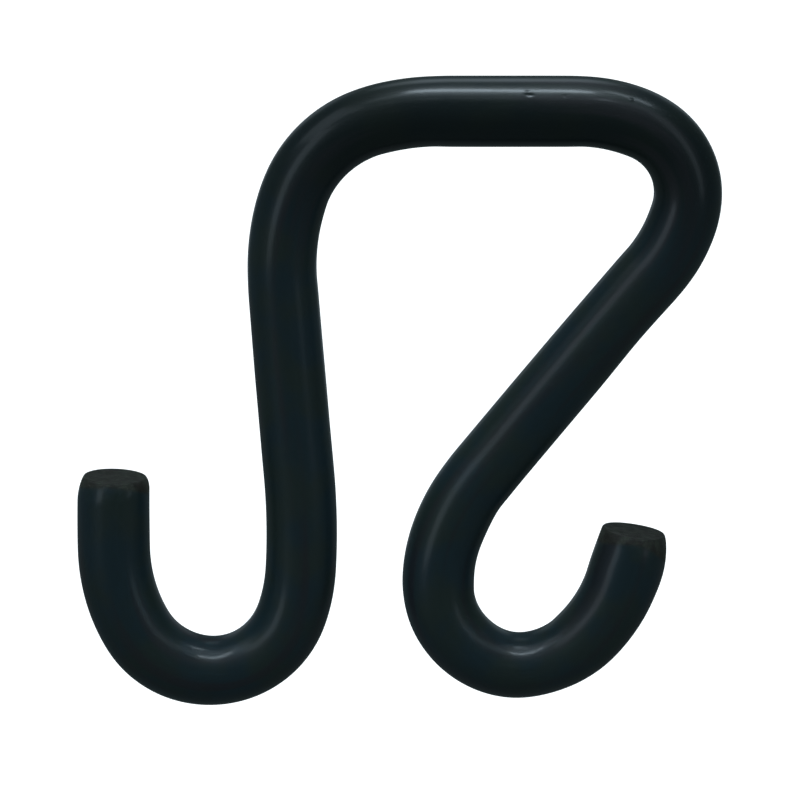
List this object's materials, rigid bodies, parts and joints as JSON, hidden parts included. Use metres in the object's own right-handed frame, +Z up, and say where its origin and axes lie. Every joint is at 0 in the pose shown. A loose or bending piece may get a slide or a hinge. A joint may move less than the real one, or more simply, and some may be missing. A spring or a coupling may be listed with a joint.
{
  "type": "bucket hook",
  "caption": "Bent round-bar hook whose flat top hangs over a rail or door and whose upturned feet each carry a bucket.",
  "frame": {"origin": "middle of the underside of the straight top bar, where it bears on the rail", "axes": "+Z up as the hook hangs, +X along the top bar towards the slanting leg, +Y through the thickness, away from the front"},
  "size_m": [0.1089, 0.012, 0.1093],
  "materials": {
    "coat": "smooth satin to semi-gloss blue-black dipped coat over steel bar, thin and greyed on the cropped ends"
  },
  "bodies": {
    "root": {"hook": "coat"}
  },
  "joints": []
}
